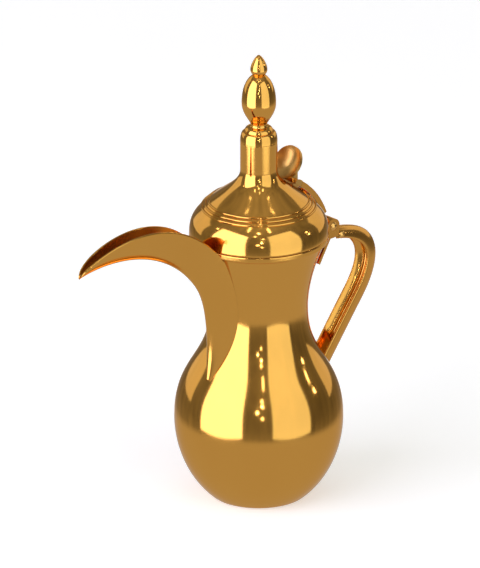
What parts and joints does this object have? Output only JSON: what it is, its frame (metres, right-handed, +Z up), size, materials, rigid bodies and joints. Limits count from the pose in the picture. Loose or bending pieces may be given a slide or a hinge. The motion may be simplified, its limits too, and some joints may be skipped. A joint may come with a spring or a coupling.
{
  "type": "dallah coffee pot",
  "caption": "Polished brass coffee pot with a waisted body, a curved beak spout, a gutter-shaped handle and a hinged domed lid that carries a tall turned finial.",
  "frame": {"origin": "centre of the flat base, on the surface the pot stands on", "axes": "+Z up along the axis of the turned body and finial; the spout points to -X and the handle and hinge are on the +X side; the pot is mirror symmetric about the XZ plane"},
  "size_m": [0.2576, 0.1088, 0.3],
  "materials": {
    "brass_body": "mirror polished",
    "brass_fitting": "polished, a little duller in the corners",
    "brass_rivet": "hammered and polished rivet heads, pin and inner hardware"
  },
  "bodies": {
    "pot": {"belly_bowl": "brass_body", "neck_shell": "brass_body", "rim_band": "brass_body", "spout_trough": "brass_body", "handle_gutter": "brass_fitting", "foot_pad": "brass_fitting", "foot_rivet": "brass_rivet", "neck_plate": "brass_fitting", "plate_rivets": "brass_rivet", "hinge_bracket": "brass_fitting", "handle_rivet": "brass_rivet", "hinge_pin": "brass_rivet"},
    "lid": {"lid_dome": "brass_body", "lid_seat_ring": "brass_fitting", "lid_hinge_arm": "brass_fitting", "lid_strap": "brass_fitting", "strap_rivets": "brass_rivet", "thumb_piece": "brass_fitting", "tower_tube": "brass_body", "tower_cap": "brass_body", "finial_collar": "brass_body", "finial_egg": "brass_body", "finial_tip": "brass_body", "finial_rod": "brass_rivet", "rod_washer": "brass_rivet", "rod_nut": "brass_rivet"}
  },
  "joints": [
    {"name": "lid_hinge", "type": "hinge", "parent": "pot", "child": "lid", "pos_m": [0.0583, 0, 0.1693], "axis": [0, 1, 0], "range_deg": [0, 105]}
  ]
}
